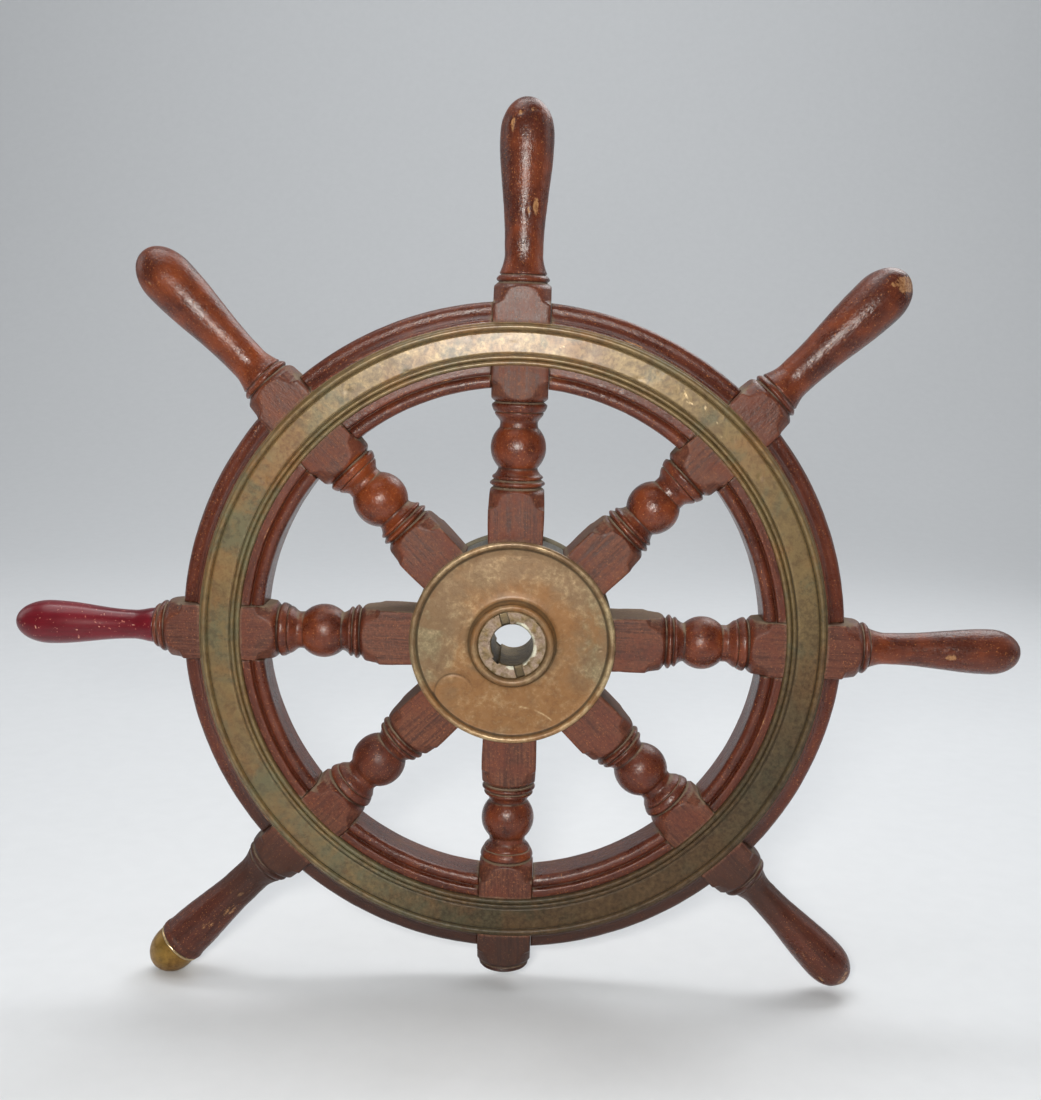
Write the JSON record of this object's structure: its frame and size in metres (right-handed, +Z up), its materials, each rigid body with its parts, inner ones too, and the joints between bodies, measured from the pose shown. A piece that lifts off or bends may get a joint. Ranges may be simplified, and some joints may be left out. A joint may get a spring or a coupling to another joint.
{
  "type": "ship's steering wheel",
  "caption": "Wooden ship's steering wheel with turned spokes and handles, a moulded rim faced with brass rings, and a keyed bronze bush in a brass-plated hub.",
  "frame": {"origin": "on the wheel's axis, which is the shaft bore's axis, in the middle of the spokes' depth", "axes": "+Y along the bore's axis towards the wheel's back, where the shaft enters; the front faces -Y; +Z up along the spoke at the top of the picture; +X to the right seen from the front"},
  "size_m": [0.6605, 0.0578, 0.5828],
  "materials": {
    "spoke_wood": "aged red-brown mahogany, worn varnish, dusty in the grooves",
    "rim_wood": "aged red-brown mahogany, semi-gloss on the mouldings",
    "nave_wood": "dusty dark hardwood",
    "dowel_wood": "bare pale hardwood, broken end",
    "red_varnish": "turned hardwood under glossy dark red varnish, with small chips",
    "ring_brass": "aged brass, olive and brown patina, bright on the raised beads",
    "plate_brass": "cast brass, orange-brown patina with greenish patches, bright rolled edge",
    "screw_brass": "slotted countersunk brass screws, tarnished",
    "bush_bronze": "rough bronze with a pale grey crust, dull bore",
    "cap_brass": "polished cast brass gone golden brown, bright rim line"
  },
  "bodies": {
    "root": {"spoke_1": "spoke_wood", "spoke_2": "spoke_wood", "spoke_3": "spoke_wood", "spoke_4": "spoke_wood", "spoke_5": "spoke_wood", "spoke_6": "spoke_wood", "spoke_7": "spoke_wood", "spoke_8": "spoke_wood", "felloe_1": "rim_wood", "felloe_2": "rim_wood", "felloe_3": "rim_wood", "felloe_4": "rim_wood", "felloe_5": "rim_wood", "felloe_6": "rim_wood", "felloe_7": "rim_wood", "felloe_8": "rim_wood", "felloe_dowels": "dowel_wood", "front_ring": "ring_brass", "back_ring": "ring_brass", "ring_screws": "screw_brass", "hub_nave": "nave_wood", "hub_front_plate": "plate_brass", "hub_back_plate": "plate_brass", "hub_screws": "screw_brass", "bush": "bush_bronze", "red_handle": "red_varnish", "red_handle_dowel": "dowel_wood", "stub_dowel": "dowel_wood", "end_cap": "cap_brass"}
  },
  "joints": []
}
